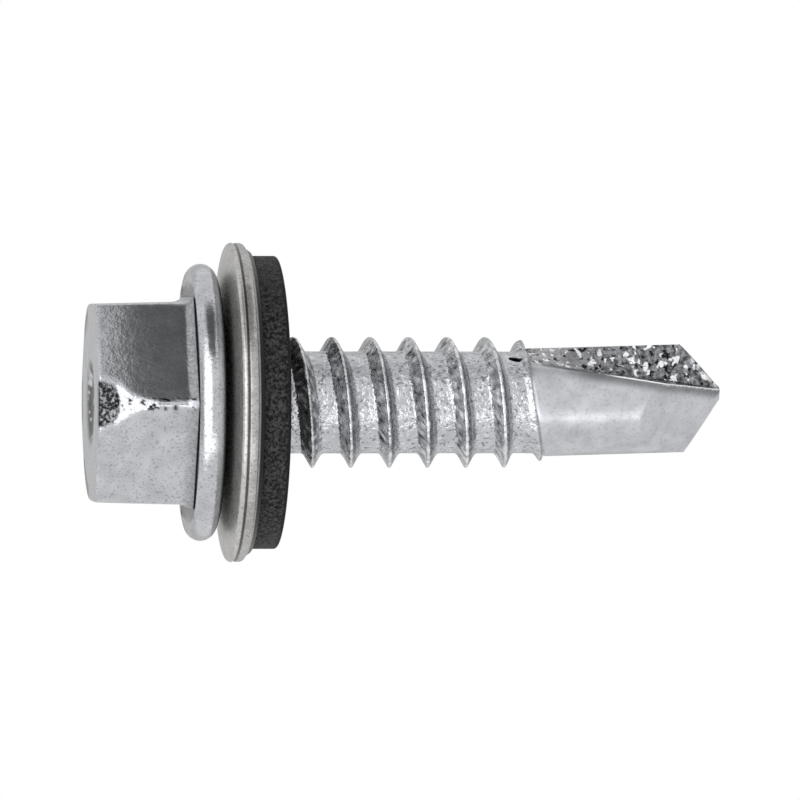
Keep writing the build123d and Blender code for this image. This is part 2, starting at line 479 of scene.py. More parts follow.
def swung(x, z, angle):
    """x and z turned about the start of the drill."""
    c, s = math.cos(angle), math.sin(angle)
    z = z - DRILL_START
    return x * c + z * s, -x * s + z * c + DRILL_START


def leaned(points):
    """Points of the drill's own frame, leaned a little towards -X."""
    p = np.asarray(points, float)
    x, z = swung(p[:, 0], p[:, 2], -LEAN)
    return np.stack([x, p[:, 1], z], 1)


def drill_start(angle):
    """Height where the drill's body reaches its full size: it follows the thread's last turn."""
    return DRILL_FULL + 0.365 * np.cos(angle) + 0.205 * np.sin(angle) + 0.055 * np.cos(2 * angle)


def flute_share(height):
    """How far up a flute a height is, from its run-out (0) to the point (1)."""
    return (height - RUN_OUT_HEIGHT) / (POINT - RUN_OUT_HEIGHT)


def unit(angle):
    """A direction across the drill."""
    return np.array([math.cos(angle), math.sin(angle)])


def flute_corner(share, shift):
    """Root of a flute at a share of its length, in the flute's own frame."""
    run_out = DRILL * unit(RUN_OUT_ANGLE)
    return run_out + (np.array([HALF_WEB + shift, 0.0]) - run_out) * share


def heel_angle(share, shift):
    """Angle at which the heel wall comes out of the drill's side."""
    corner, heel = flute_corner(share, shift), unit(HEEL)
    along = np.dot(corner, heel)
    out = corner + heel * (math.sqrt(along ** 2 - np.dot(corner, corner) + DRILL ** 2) - along)
    return math.atan2(out[1], out[0])


def drill_blank():
    """Body of the drill. Its lines follow the two heel edges, which are slightly rounded."""
    rows = [(DRILL_FULL, lift) for lift in RAMP_STEPS]
    rows += [(DRILL_FULL + (POINT - DRILL_FULL) * (k + 1) / DRILL_ROWS, 0.0) for k in range(DRILL_ROWS)]
    sunk, join = 0.04, 0.04                         # under the shank's skin, and at the heel edge
    rings = []
    for z, lift in rows:
        share = min(flute_share(z), 1)
        rise = smooth_step(RAMP_STEPS[1], 0.0, lift)
        ring = []
        for turn, _, shift, _ in SIDES:
            first = heel_angle(share, shift) + math.radians(turn)
            last = heel_angle(share, -shift) + math.radians(turn) + math.pi
            full = (last - first) * DRILL - join
            arcs = [*HEEL_OFFSETS, *np.linspace(HEEL_OFFSETS[-1], full, 58)[1:]]
            for off in arcs:
                angle = first + off / DRILL
                drop = HEEL_DROP * max(0.0, 1 - off / HEEL_ROUND) ** 2
                drop += HEEL_SAG * max(0.0, 1 - off / HEEL_SAG_WIDTH) ** 2
                if off == arcs[-1]:
                    drop = HEEL_DROP + HEEL_SAG
                start = drill_start(angle)
                height = start + lift + (z - DRILL_FULL) * (POINT - start) / (POINT - DRILL_FULL)
                radius = ROOT - sunk + (DRILL - drop * rise - ROOT + sunk) * rise
                ring.append((radius * math.cos(angle), radius * math.sin(angle), height))
        rings.append(leaned(ring))
    return tube("drill", rings)


def flute_outline(share, shift):
    """Section of a flute at a share of its length: a V with a round root."""
    corner, heel = flute_corner(share, shift), unit(HEEL)
    rake = unit(RAKE[0] + (RAKE[1] - RAKE[0]) * (1 - max(0.0, 1 - share) ** 2.2))
    half = math.acos(np.dot(rake, heel)) / 2
    bisector = (rake + heel) / np.linalg.norm(rake + heel)
    centre = corner + bisector * FLUTE_ROOT_RADIUS / math.sin(half)
    to_tangent = FLUTE_ROOT_RADIUS / math.tan(half)
    start, end = corner + rake * to_tangent, corner + heel * to_tangent
    first = math.atan2(start[1] - centre[1], start[0] - centre[0])
    last = math.atan2(end[1] - centre[1], end[0] - centre[0])
    sweep = (last - first + math.pi) % (2 * math.pi) - math.pi
    bend = [centre + FLUTE_ROOT_RADIUS * unit(t) for t in first + sweep * np.linspace(0, 1, 7)[1:-1]]
    wall, far_out, beyond = 2.9, 3.6, 7.0
    rake_wall = spaced(0, (wall, RAKE_STEPS), (far_out, 1))
    heel_wall = spaced(0, (wall, HEEL_STEPS), (far_out, 1))
    return ([start + rake * w for w in rake_wall[::-1]] + bend
            + [end + heel * w for w in heel_wall] + [centre + bisector * beyond])


def flute_cutter(turn, shift, lip):
    """The form that a flute takes out, with the rough skin that forging leaves."""
    grid = np.array([[(x, y, z) for x, y in flute_outline(flute_share(z), shift)]
                     for z in np.linspace(RUN_OUT_HEIGHT, POINT + 0.4, 150)])
    normal = np.cross(np.gradient(grid, axis=1), np.gradient(grid, axis=0))
    normal /= np.linalg.norm(normal, axis=2, keepdims=True)
    x, y, z = grid.reshape(-1, 3).T
    seed = 3 + turn / 90
    rough = sum(fractal(x, y, z, size, seed + 2 * k) * depth
                for k, (size, depth) in enumerate(FLUTE_ROUGH))
    rough *= smooth_step(RUN_OUT_HEIGHT, RUN_OUT_HEIGHT + 1.5, z)
    below_lip = POINT - z - np.abs(x - lip[0]) / math.tan(lip[1])
    rough *= smooth_step(0.05, 0.7, np.abs(below_lip))
    rough = rough.reshape(grid.shape[:2])
    rough[:, RAKE_STEPS + 5:] *= 0.2                # the heel wall is smoother
    grid = grid + normal * rough[:, :, None]
    c, s = unit(math.radians(turn))
    rings = []
    for x, y, z in grid.transpose(0, 2, 1):
        rings.append(leaned(np.stack([x * c - y * s, x * s + y * c, z], 1)))
    return tube("flute", rings)


def flank_cutter(sign, lip):
    """The block in front of one flank of the point. Its face on the flank is a fine grid."""
    along = np.array([sign * math.sin(lip[1]), 0, -math.cos(lip[1])])
    falling = np.array([0, -sign * 1.0, -math.tan(FALL_ANGLE)])
    falling = falling - along * np.dot(falling, along)
    falling /= np.linalg.norm(falling)
    out = np.cross(along, falling)
    out *= math.copysign(1, out[2])
    start = np.array([sign * lip[0], 0, POINT])
    step, thick = 0.10, 6
    rings = []
    for v in np.arange(-3.0, 5.6, step):
        row = [start + along * u + falling * v for u in np.arange(-2.6, 4.2, step)]
        rings.append(leaned(row + [row[-1] + out * thick, row[0] + out * thick]))
    return tube("flank", rings)


def from_heel_wall(own_x, y, own_z, sign, shift):
    """Distance from a flute's heel wall, on the drill's side of it, across the drill."""
    share = np.clip(flute_share(own_z), 0, 1)
    first, last = flute_corner(0.0, shift), flute_corner(1.0, shift)
    corner_x, corner_y = (a + (b - a) * share for a, b in zip(first, last))
    return -(sign * own_x - corner_x) * math.sin(HEEL) + (sign * y - corner_y) * math.cos(HEEL)


def heel_line(own_x, y, own_z, r, sign, shift, width):
    """A line on the drill's side along the edge where a heel wall comes out of it."""
    shares = np.linspace(0, 1, 40)
    heel = np.interp(np.clip(flute_share(own_z), 0, 1), shares, [heel_angle(k, shift) for k in shares])
    off = (np.arctan2(sign * y, sign * own_x) - heel) * DRILL
    return smooth_step(width + 0.05, width, off) * (off > -0.03) * (r > 2.3)


# ---------------------------------------------------------------- painted numbers

# Each rule gives a number for every point of the screw, for painted shade, shadow and highlights
# as well as mottling, wear and specks. A pair is a soft edge, from none to full, in mm or in turns
# of the thread. A level is the most that a place gets.
PATCH_TOP, PATCH_SAG, PATCH_EDGE, PATCH_DEPTH = 0.97, 0.30, (0.04, -0.04), (-0.01, 0.05)
DISH_EDGE, DISH_SPECK, DISH_SEED = (2.15, 1.65), 0.46, 17
# painted shade on the flare, the first turn and the flanks, and painted glints on the early turns
FLARE_EDGE, FLARE_LEVEL = (3.85, 4.50), 0.45
SHADED_THREAD, SPECKED_THREAD = (7.0, 21.5), (8.0, 20.2)    # between these heights
FIRST_TURN, FIRST_LEVEL = (1.15, 0.75), 0.25
EARLY_TURN, EARLY_LEVEL = (1.35, 0.9), 0.9
FULL_THREAD, WEAR_AND_HIGHLIGHT_THREAD = (6.5, 6.1), (6.6, 6.2)
LEFT_LEVEL, RIGHT_LEVEL = 0.20, 0.85
FLANK_SPECK = 0.34
# painted shade in the valley, the washer gap, the lap and along the step line, and specks at the corner
VALLEY_ZONE, VALLEY_EDGES = (FOOT - 0.02, 4.75), ((-0.03, 0.0), (0.62, 0.45))
GAP_EDGE = (BEARING - 0.14, BEARING - 0.06)
LAP_EDGE = (ROOT - 0.01, ROOT - 0.05)
CORNER_ZONE, CORNER_LINE, CORNER_SPECK = (0.75, 4.45), (0.34, 0.22), 0.24
STEP_ZONE, STEP_LINE, STEP_LINE_DROP, STEP_LEVEL = (2.47, 2.60), (0.09, 0.03), 0.10, 0.45
HEEL_CHANGE = (24.6, 23.6)              # a heel edge has painted shade below these heights
HEEL_LEVEL = 0.8
BAND_EDGES = (0.60, 0.16), (0.02, 0.07)     # of the band of painted shade beside a heel wall
BAND_START, BAND_LEVEL = (21.6, 23.4), 0.55
# painted highlights on the crest, on the heel edges from these heights, along the lips and beside them
CREST_EDGE = (0.10, 0.05)
BRIGHT_HEEL = (23.8, 24.8)
LIP_EDGES = (0.50, 0.12), (0.02, 0.08)
LIP_SPECK, LIP_LEVEL = 0.28, 0.7
CHISEL_EDGE, CHISEL_LEVEL = (0.12, 0.05), 0.9


def dish_floor(z, r):
    """The floor of the shallow dish in the end of the head, which is painted mottled and dark."""
    return smooth_step(*DISH_EDGE, r) * (z < 0.3)


def specked(zone, noise_range, level, *noise_at):
    """A zone broken up by noise, which is worked out from the arguments of fractal."""
    return zone * (smooth_step(*noise_range, fractal(*noise_at)) * level)


def flank_band(offset, r, across, above):
    """A band on one flank of the thread, by the offset from its crest and the height on it."""
    return smooth_step(*across, offset) * smooth_step(*above, r - ROOT)


def shade_rule(x, y, z, r):
    """Where the metal is painted mottled and dark: the unfilled corners, which are rough as forged and
    carry a painted reflection of a dark side of the room, the dish in the head's end, and painted
    shade on the hexagon's flared foot, on the thread's first turn beside the rubber and on its flanks."""
    angle = np.arctan2(y, x)
    wide = np.abs(from_corner(angle)) * r
    height = np.maximum(z, RIM)
    cut = hexagon_radius(angle, height) - forged_radius(angle, height)
    # the unfilled corners: rough as forged, with a painted reflection of a dark side
    patch = smooth_step(*PATCH_DEPTH, cut)
    patch *= smooth_step(*PATCH_EDGE, z - (PATCH_TOP - PATCH_SAG * wide ** 2))
    unfilled = np.array(UNFILLED)[corner_number(angle)] > 0.5
    patch = np.where((z < 1.2) & (r > 3.9) & unfilled, patch, 0)
    # painted shade on the flared foot of the hexagon
    flare = smooth_step(*FLARE_EDGE, z) * (z < 4.58) * (r < 5.9) * FLARE_LEVEL
    offset, turn = thread_offset(x, y, z)
    on_thread = within(*SHADED_THREAD, z) & (r > ROOT + 0.03)
    # painted shade on the first turn beside the rubber, and on both flanks of the thread
    first = on_thread * smooth_step(*FIRST_TURN, turn) * FIRST_LEVEL
    left = on_thread * flank_band(offset, r, (-0.02, -0.10), (0.05, 0.22)) * LEFT_LEVEL
    right = on_thread * flank_band(offset, r, (0.03, 0.08), (0.25, 0.45)) * RIGHT_LEVEL
    full = smooth_step(*FULL_THREAD, turn)
    return np.maximum.reduce([patch, dish_floor(z, r), flare, first, left * full, right * full])


def black_rule(x, y, z, r):
    """Where the metal is painted near black: painted shade in the valley at the hexagon's foot, in the
    lap, along the line where the drill's body starts, on the start of the heel edges and in a band
    beside the heel walls; painted shadow in the gap at the washer; and specks in the dish, on the
    near corner and on the thread."""
    angle = np.arctan2(y, x)
    # painted shade in the valley at the hexagon's foot
    from_foot = r - side_radius(angle, FOOT) - FOOT_FLARE
    foot = smooth_step(*VALLEY_EDGES[0], from_foot) * smooth_step(*VALLEY_EDGES[1], from_foot)
    foot *= within(*VALLEY_ZONE, z)
    # painted shadow in the gap between flange and washer
    gap = smooth_step(*GAP_EDGE, z) * (z < BEARING + 0.1) * (r > 4.0)
    # painted shade in the lap
    slit = (np.abs(z - LAP_HEIGHT) < 0.4) * (x < -1.5) * (y < -0.6) * smooth_step(*LAP_EDGE, r)
    dish = specked(dish_floor(z, r), (0.20, 0.0), 0.7, x, 0.6 * y, z, DISH_SPECK, DISH_SEED)
    edge = smooth_step(*CORNER_LINE, np.abs(from_corner(angle)) * r)
    edge *= within(*CORNER_ZONE, z) * (r > 4.4) * (y < -4)
    edge = specked(edge, (0.12, 0.30), 1.0, x, y, z, CORNER_SPECK, 29)
    # painted shade along the line where the drill's body starts
    line = smooth_step(*STEP_LINE, np.abs(z - drill_start(angle) + STEP_LINE_DROP))
    line *= within(*STEP_ZONE, r) * STEP_LEVEL
    left = flank_band(thread_offset(x, y, z)[0], r, (-0.06, -0.14), (0.03, 0.10))
    left *= within(*SPECKED_THREAD, z) * (r < CREST - 0.12)
    left *= -0.15 + 1.8 * fractal(x, y, z, FLANK_SPECK, 19)
    places = [foot, gap, slit, dish, edge, line, left]
    own_x, own_z = swung(x, z, LEAN)
    for _, sign, shift, _ in SIDES:
        # painted shade on a heel edge below its painted highlight, and a band of painted shade beside
        # each heel wall
        heel = heel_line(own_x, y, own_z, r, sign, shift, 0.03)
        places.append(heel * (z > 21) * smooth_step(*HEEL_CHANGE, z) * HEEL_LEVEL)
        from_wall = from_heel_wall(own_x, y, own_z, sign, shift)
        beside = smooth_step(*BAND_EDGES[0], from_wall) * smooth_step(*BAND_EDGES[1], from_wall)
        beside *= (sign * y > 0.15) * (r > 0.3)
        places.append(beside * smooth_step(*BAND_START, z) * BAND_LEVEL)
    return np.maximum.reduce(places)


def wear_and_highlight_rule(x, y, z, r):
    """Where the metal is painted near white: the thread's crest, which is rubbed and has a painted
    highlight, painted glints in patches on its left flank and first turns, white specks in the dish,
    and painted highlights along the heel edges, the lips and the edges beside them."""
    offset, turn = thread_offset(x, y, z)
    on_thread = (z > 8.0) * smooth_step(*WEAR_AND_HIGHLIGHT_THREAD, turn)
    patchy = fractal(x, y, z, FLANK_SPECK, 11)
    # painted highlight on the crest, painted glints on the left flank and the first turns
    crest = smooth_step(*CREST_EDGE, np.abs(offset - 0.01)) * (r > 2.80) * on_thread
    left = flank_band(offset, r, (-0.04, -0.12), (0.04, 0.16)) * on_thread
    early = (z > 7.2) * smooth_step(*EARLY_TURN, turn) * (r > ROOT + 0.05)
    dish = specked(dish_floor(z, r), (0.20, 0.32), 0.6, x, 0.6 * y, z, DISH_SPECK, DISH_SEED)
    places = [crest * (0.30 + 1.0 * patchy), left * (0.15 + 1.2 * patchy),
              early * smooth_step(0.05, 0.30, patchy) * EARLY_LEVEL, dish]
    grain_at_lip = fractal(x, y, z, LIP_SPECK, 13)
    own_x, own_z = swung(x, z, LEAN)
    for _, sign, shift, (start, angle) in SIDES:
        # painted highlights along the heel edges, the lips and the edges beside them
        heel = heel_line(own_x, y, own_z, r, sign, shift, 0.035)
        out = sign * own_x - start
        below = POINT - own_z - out / math.tan(angle) + sign * y * math.tan(FALL_ANGLE)
        lip = smooth_step(*LIP_EDGES[0], below) * (below > -0.1) * (out > 0) * (z > 26.5)
        lip = np.clip(lip * (0.35 + grain_at_lip), 0, LIP_LEVEL)
        lip *= smooth_step(*LIP_EDGES[1], below) * (sign * y > -0.5)
        beside = np.abs(from_heel_wall(own_x, y, own_z, -sign, -shift)) < 0.05
        edge = beside * smooth_step(*CHISEL_EDGE, np.abs(below)) * (z > 25.5) * CHISEL_LEVEL
        places += [heel * smooth_step(*BRIGHT_HEEL, z), lip, edge]
    return np.maximum.reduce(places)


def screw():
    """The whole screw in one closed skin, with its regions and painted numbers."""
    made = head()
    set_region(made, HEAD)
    tidy(made)
    parts = [(shank(), THREAD, "UNION"), (drill_blank(), DRILL_BODY, "UNION")]
    parts += [(flute_cutter(turn, shift, lip), FLUTE, "DIFFERENCE") for turn, _, shift, lip in SIDES]
    parts.append((lap(), THREAD, "DIFFERENCE"))
    parts += [(flank_cutter(sign, lip), FLANK, "DIFFERENCE") for _, sign, _, lip in SIDES]
    for part, region, operation in parts:
        set_region(part, region)
        combine(made, part, operation)
    tidy(made, 32.0)
    # painted shade and mottling, painted highlights and wear, painted shadow and specks
    paint(made, "shade", shade_rule)
    paint(made, "wear_and_highlight", wear_and_highlight_rule)
    paint(made, "black", black_rule)
    return made


# ---------------------------------------------------------------- washer

def under_disc(radius):
    """Height of the disc's rubber side at a radius."""
    return WASHER_TOP + DISC_THICKNESS / math.cos(DISC_DISH) + (radius - BORE) * math.tan(DISC_DISH)


def disc():
    """Pressed disc: rolled edge, a fine crease, and a rim that falls away to the rubber."""
    rolled = arc((WASHER - ROLL, ROLL_HEIGHT), ROLL, math.degrees(DISC_DISH) - 90, -2, 12)
    crease = [(WASHER - depth, height) for depth, height in CREASE_STEPS]
    bevel = WASHER - 0.40
    rim_end = under_disc(bevel) - 0.24
    rim = [(WASHER - 0.01 - DISC_RIM_FALL * t ** 5, DISC_RIM + (rim_end - DISC_RIM) * t)
           for t in np.linspace(0, 1, 11)]
    flat = 0.35
    top = [(BORE, WASHER_TOP), (BORE + flat, WASHER_TOP + flat * math.tan(DISC_DISH))]
    back = [(bevel, under_disc(bevel)), (RUBBER + 0.02, under_disc(RUBBER)),
            (RUBBER - 0.3, under_disc(RUBBER - 0.3)), (BORE, under_disc(BORE))]
    profile = subdivided(top + [rolled[0]], 0.4) + rolled[1:] + crease + rim
    profile += subdivided([rim[-1], back[0]], 0.12)[1:]
    profile += subdivided(back, 0.6)[1:] + [(BORE, WASHER_TOP + 0.5)]
    made = turned_profile("metal_washer_dressed", profile, 240)
    tidy(made)

    # painted shadow under the rim's bevel at the rubber, painted shade in the crease and on the rim
    def black(x, y, z, r):
        in_crease = (np.abs(z - CREASE) < 0.06) * (r > WASHER - 0.1)
        return (z > rim_end + 0.02) * (r > bevel - 0.05) + in_crease * 0.85

    paint(made, "shade", lambda x, y, z, r: 0.22 * (z > CREASE - 0.01) * (r > WASHER - 0.1))
    paint(made, "black", black)
    return made


def rubber():
    """Rubber ring under the disc, with a chamfered mouth that clears the thread."""
    inner, mouth = ROOT + CLEARANCE, CREST + CLEARANCE
    low = under_disc(RUBBER)
    top = low + RUBBER_HEIGHT
    edge = (RUBBER - RUBBER_EDGE, top - RUBBER_EDGE)
    profile = subdivided([(inner, under_disc(inner)), (RUBBER, low), (RUBBER, edge[1])], 0.10)
    profile += arc(edge, RUBBER_EDGE, 0, 90, 5)[1:]
    profile += subdivided([(edge[0], top), (mouth, top)], 0.12)[1:]
    profile += subdivided([(mouth, top), (inner, top - MOUTH_DEPTH)], 0.15)[1:]
    profile += subdivided([(inner, top - MOUTH_DEPTH), (inner, under_disc(inner))], 0.3)[1:-1]
    made = turned_profile("rubber_seal_dressed", profile, 260)
    tidy(made)
    # painted shade along the rubber's outer edges, at the top and against the disc
    paint(made, "black", lambda x, y, z, r: (r > RUBBER - 0.12) * ((z > top - 0.12) | (z < low + 0.05)))
    return made


# ---------------------------------------------------------------- materials

# near white for painted highlights, wear and white flecks; near black for painted shade, painted shadow
# and black flecks
WEAR_AND_HIGHLIGHT, BLACK = (0.93, 0.94, 0.96, 1), (0.006, 0.006, 0.007, 1)
WEAR_AND_HIGHLIGHT_SHINE = 0.45                       # how metallic rubbed metal and painted highlights still are, as a share
RUBBER_TONES = (0.001, 0.001, 0.001, 1), (0.066, 0.062, 0.062, 1)
NOISE = (0.3, 0.7)                      # the range that most of a noise texture lies in


def new_node(tree, kind, inputs=None, **settings):
    """A node with its inputs linked or set, and its other settings."""
    made = tree.nodes.new(kind)
    for key, value in settings.items():
        setattr(made, key, value)
    for key, value in (inputs or {}).items():
        if isinstance(value, bpy.types.NodeSocket):
            tree.links.new(value, made.inputs[key])
        else:
            made.inputs[key].default_value = value
    return made


def new_material(name):
    """A material without a shader, its tree, and the place on the object."""
    material = bpy.data.materials.new(name)
    material.use_nodes = True
    tree = material.node_tree
    tree.nodes.clear()
    return material, tree, new_node(tree, "ShaderNodeTexCoord").outputs["Object"]


def shaded(material, inputs):
    """The material with its one shader, which has these inputs."""
    tree = material.node_tree
    shader = new_node(tree, "ShaderNodeBsdfPrincipled", inputs)
    new_node(tree, "ShaderNodeOutputMaterial", {"Surface": shader.outputs[0]})
    return material


def grain(tree, place, size, detail=3.0, roughness=0.6):
    """Noise with features of about that size in millimetres."""
    made = new_node(tree, "ShaderNodeTexNoise", {"Vector": place, "Scale": 1 / (size * MM),
                                                  "Detail": detail, "Roughness": roughness})
    return made.outputs["Fac"]


def spread(tree, value, low, high, to_low, to_high, **settings):
    """A value's range mapped to another."""
    inputs = {"Value": value, "From Min": low, "From Max": high, "To Min": to_low, "To Max": to_high}
    return new_node(tree, "ShaderNodeMapRange", inputs, **settings).outputs["Result"]


def blend(tree, share, first, second):
    """One colour changed into another by a share."""
    return new_node(tree, "ShaderNodeMix", {"Factor": share, "A": first, "B": second},
                    data_type="RGBA").outputs["Result"]


def worked_out(tree, operation, *values):
    """The result of a sum on one or two values."""
    inputs = dict(enumerate(values))
    return new_node(tree, "ShaderNodeMath", inputs, operation=operation).outputs["Value"]


def bump(tree, height, depth, below=None):
    """A normal with relief of a depth in mm, over the relief below it."""
    inputs = {"Height": height, "Distance": depth * MM, "Strength": 1.0}
    if below is not None:
        inputs["Normal"] = below
    return new_node(tree, "ShaderNodeBump", inputs).outputs["Normal"]


def painted(tree, name):
    """A number painted on the mesh."""
    return new_node(tree, "ShaderNodeAttribute", attribute_name=name).outputs["Fac"]


def steel(name, tones, roughness, relief, flecks, spots=(0.16, 0.46, 0.64, 0.015, 0.34),
          mottled=None, metallic=1.0, fleck_size=0.15):
    """Plated steel. Relief is the size and depth of waves, dents and specks in mm. Flecks is how
    strong the black and the white ones are. The mesh's painted numbers turn the metal mottled,
    near white or black; they carry painted shade, painted highlights and painted shadow as well
    as wear and specks, and the near white also takes some of its shine. Spots is the size of
    the mottling, the noise from which and to which it changes, and its two tones. Mottled is
    (height, height, share, share): how mottled it is from one height to another."""
    material, tree, place = new_material(name)
    cloud = spread(tree, grain(tree, place, 0.9, 4), 0.36, 0.64, 0, 1)
    tone = blend(tree, cloud, *tones)
    size, low, high, dark, light = spots
    mottle = blend(tree, spread(tree, grain(tree, place, size, 3, 0.7), low, high, 0, 1),
                   (dark, dark, 1.1 * dark, 1), (light, 1.02 * light, 1.07 * light, 1))
    share = painted(tree, "shade")
    if mottled:
        low, high, at_low, at_high = mottled
        height = new_node(tree, "ShaderNodeSeparateXYZ", {0: place}).outputs["Z"]
        along = spread(tree, height, low * MM, high * MM, at_low, at_high)
        share = worked_out(tree, "MAXIMUM", share, along)
    tone = blend(tree, share, tone, mottle)
    for seed, (strength, colour) in enumerate(zip(flecks, (BLACK, WEAR_AND_HIGHLIGHT))):
        if strength:
            fleck = grain(tree, place, fleck_size * (1 + 0.1 * seed), 1.5)
            tone = blend(tree, spread(tree, fleck, 0.58, 0.64, 0, strength), tone, colour)
    # painted highlights and wear, then painted shade, painted shadow and specks
    tone = blend(tree, painted(tree, "wear_and_highlight"), tone, WEAR_AND_HIGHLIGHT)
    tone = blend(tree, painted(tree, "black"), tone, BLACK)
    normal = None
    for size, depth in relief:
        normal = bump(tree, grain(tree, place, size, 2), depth, normal)
    rough = spread(tree, grain(tree, place, 0.11, 3), *NOISE, *roughness)
    # painted highlights and wear take some of the shine
    shine = spread(tree, painted(tree, "wear_and_highlight"), 0, 1, metallic, WEAR_AND_HIGHLIGHT_SHINE * metallic)
    return shaded(material, {"Base Color": tone, "Roughness": rough, "Normal": normal,
                             "Metallic": shine})


def rubber_skin():
    """Moulded rubber with a speckled, pitted skin."""
    material, tree, place = new_material("black_rubber_moulded")
    speck = grain(tree, place, 0.15, 3, 0.7)
    tone = spread(tree, speck, 0.42, 0.62, 0, 1)
    # painted shade along the edges
    tone = blend(tree, painted(tree, "black"), blend(tree, tone, *RUBBER_TONES), BLACK)
    rough = spread(tree, grain(tree, place, 0.35, 4), *NOISE, 0.42, 0.7)
    return shaded(material, {"Base Color": tone, "Roughness": rough, "Normal": bump(tree, speck, 0.14),
                             "Specular IOR Level": 0.15})


# ---------------------------------------------------------------- build

screw_body = screw()
screw_body.name = "screw_dressed"
disc_body = disc()
rubber_body = rubber()

ZINC = (0.44, 0.45, 0.47, 1), (0.54, 0.55, 0.575, 1)
FLUTE_ZINC = (0.24, 0.24, 0.25, 1), (0.50, 0.50, 0.52, 1)
DISC_ZINC = (0.42, 0.41, 0.40, 1), (0.53, 0.52, 0.505, 1)
SMOOTH = {"roughness": (0.28, 0.38), "flecks": (0.15, 0.0),
          "relief": ((0.75, 0.004), (0.24, 0.008), (0.11, 0.003))}
finishes = (
    steel("zinc_on_head", ZINC, roughness=(0.16, 0.28), flecks=(0.32, 0.0), fleck_size=0.11,
          relief=((0.75, 0.010), (0.24, 0.012), (0.11, 0.006)), spots=(0.17, 0.46, 0.62, 0.012, 0.22)),
    steel("zinc_on_thread", ZINC, roughness=(0.18, 0.32), flecks=(0.5, 0.3), fleck_size=0.20,
          relief=((0.75, 0.030), (0.36, 0.110), (0.14, 0.010)), metallic=0.88),
    steel("zinc_on_drill", ZINC, **SMOOTH),
    steel("zinc_in_flutes", FLUTE_ZINC, roughness=(0.22, 0.40), flecks=(0.95, 0.90), fleck_size=0.30,
          relief=((0.75, 0.010), (0.24, 0.090), (0.11, 0.015)), spots=(0.24, 0.40, 0.60, 0.03, 0.28),
          mottled=(22.0, 25.0, 0.30, 0.90)),
    steel("zinc_on_flanks", ZINC, **SMOOTH),
)
for region, finish in enumerate(finishes):
    screw_body.data.materials[region] = finish
disc_body.data.materials.append(
    steel("zinc_on_disc", DISC_ZINC, roughness=(0.24, 0.34), flecks=(0.3, 0.15),
          relief=((0.75, 0.006), (0.24, 0.012), (0.11, 0.005)), metallic=0.62))
rubber_body.data.materials.append(rubber_skin())

for piece, body, node, slot in (
    (screw_body, "screw", "screw", "zinc_plated_steel"),
    (disc_body, "sealing_washer", "metal_washer", "washer_steel"),
    (rubber_body, "sealing_washer", "rubber_seal", "black_rubber"),
):
    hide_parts(node)
    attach(piece, body)

# ---------------------------------------------------------------- camera

CAMERA_LENS, CAMERA_SENSOR, CAMERA_SHIFT = 292.5, 36, 0.003
CAMERA_DISTANCE, CAMERA_HEIGHT = 304.3, 14.547
CAMERA_SWING, CAMERA_TILT = math.radians(0.9), math.radians(7.6)


def matrix_of(right, up, back, place):
    """An object's matrix from its three axes and its place in metres."""
    return Matrix([*zip(right, up, back, place), (0, 0, 0, 1)])


camera_data = bpy.data.cameras.new("camera")
camera = bpy.data.objects.new("camera", camera_data)
bpy.context.scene.collection.objects.link(camera)
bpy.context.scene.camera = camera
camera_data.lens = CAMERA_LENS
camera_data.sensor_width = CAMERA_SENSOR
camera_data.shift_y = CAMERA_SHIFT
camera_data.clip_start = 0.01
camera_data.clip_end = 10
along = Vector((0, 0, 1))
near = Vector((-math.sin(CAMERA_SWING), -math.cos(CAMERA_SWING), 0))
up = Vector((-math.cos(CAMERA_SWING), math.sin(CAMERA_SWING), 0))
right = along * math.cos(CAMERA_TILT) + near * math.sin(CAMERA_TILT)
back = near * math.cos(CAMERA_TILT) - along * math.sin(CAMERA_TILT)
camera.matrix_world = matrix_of(right, up, back, (along * CAMERA_HEIGHT + back * CAMERA_DISTANCE) * MM)

# ---------------------------------------------------------------- studio, in metres

MIDDLE = Vector((0, 0, 14.5)) * MM
FLOOR_SIZE, FLOOR_DROP, FLOOR_FADE = 0.6, 0.00002, (0.05, 0.25)
FLOOR_COLOUR = (0.85, 0.85, 0.85, 1)
WHITE = (1, 1, 1, 1)
AMBIENT = 0.55                          # the room's light; the camera and metal see it as 1

# Name, degrees to the left and down in the photograph, half the degrees that it fills that way
# and across, level, soft share and distance
FAR_REFLECTORS = (
    ("key_left", 40, 0, 36, 46, 2.4, 0.30, 0.6),
    ("strip_below", 0, 34, 42, 9, 2.8, 0.9, 0.5),
    ("grey_above", -6, -78, 50, 18, 0.60, 0.6, 0.5),
    ("dark_behind", 0, 180, 38, 38, 0.65, 0.35, 0.5),
    ("dark_left", 92, 0, 12, 22, 0.60, 0.4, 0.4),
)
# Name, degrees to the left and down, distance, width, height and power in watts
SOFTBOXES = (
    ("lamp_left", 40, 0, 1.0, 0.8, 0.7, 5.0),
    ("lamp_below", 0, 36, 1.0, 0.5, 0.5, 2.0),
)


def direction(across, around):
    """A direction in the photograph's terms: degrees to its left (-Z), then down (+X), from -Y."""
    a, b = math.radians(across), math.radians(around)
    return Vector((math.cos(a) * math.sin(b), -math.cos(a) * math.cos(b), -math.sin(a)))


